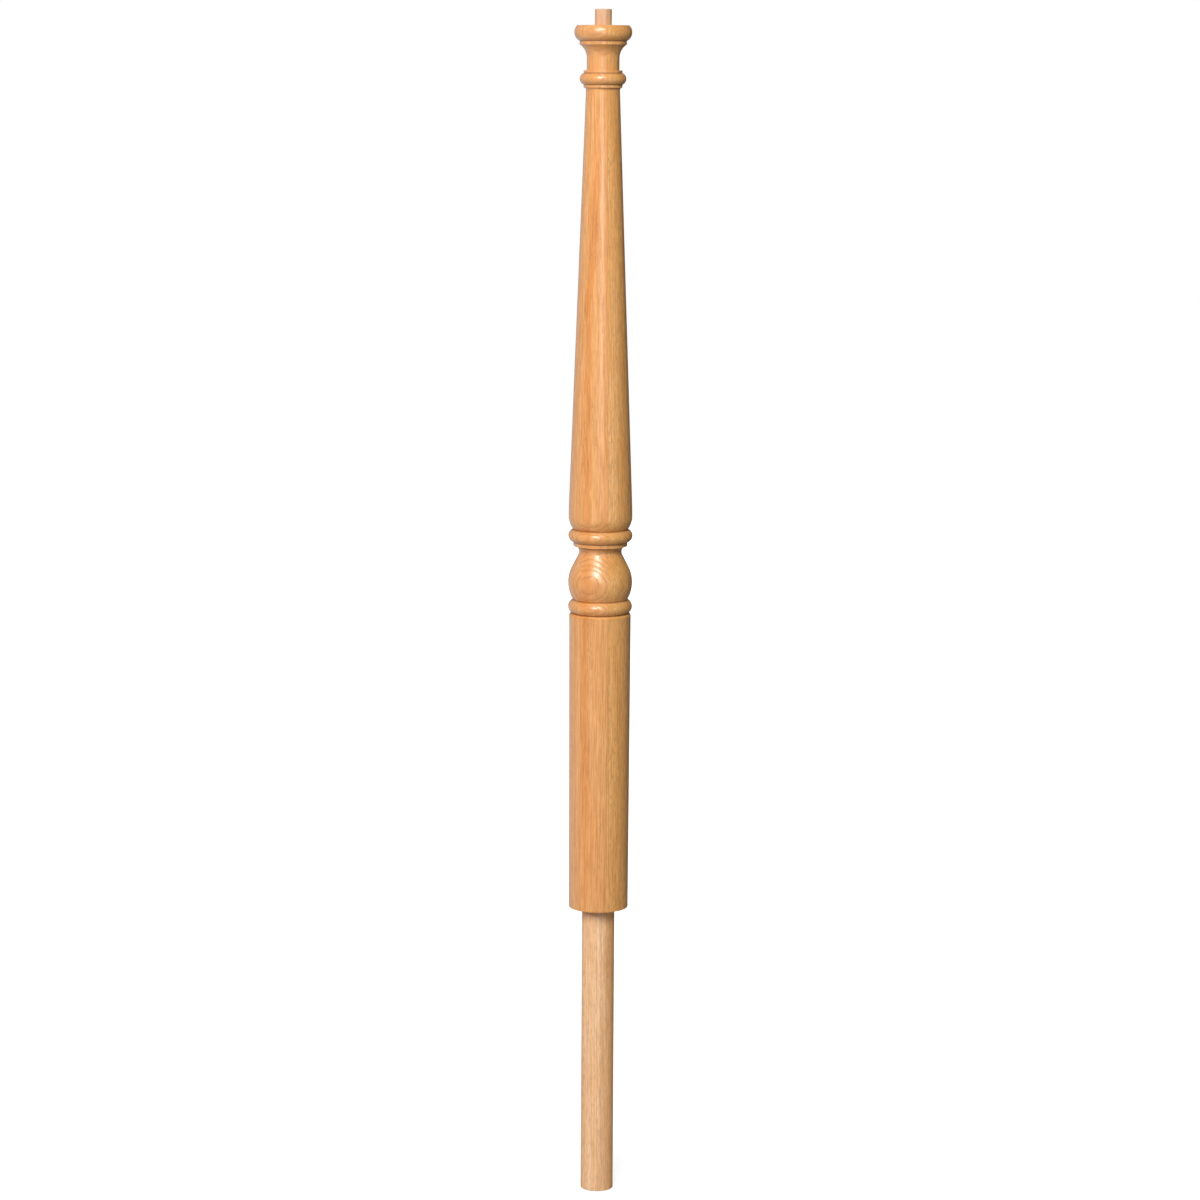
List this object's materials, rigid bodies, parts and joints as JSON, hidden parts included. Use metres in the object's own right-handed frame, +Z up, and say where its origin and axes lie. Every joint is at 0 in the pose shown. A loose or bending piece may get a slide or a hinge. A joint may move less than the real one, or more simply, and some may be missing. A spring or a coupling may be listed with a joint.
{
  "type": "turned newel post",
  "caption": "Turned oak newel post with a pinned head, a long taper, beads and a bulb, a plain lower shaft and a bare fixing dowel below.",
  "frame": {"origin": "on the post's axis, at the centre of the flat shoulder where the turned post ends and the bare dowel leaves it", "axes": "+Z up along the post's axis towards the top pin; the post is round, so +X and +Y are any two directions square to it"},
  "size_m": [0.074, 0.0738, 1.3795],
  "materials": {
    "finished_oak": "clear satin varnish over golden oak",
    "bare_oak": "bare sanded oak, matte"
  },
  "bodies": {
    "root": {"turned_post": "finished_oak", "base_dowel": "bare_oak"}
  },
  "joints": []
}
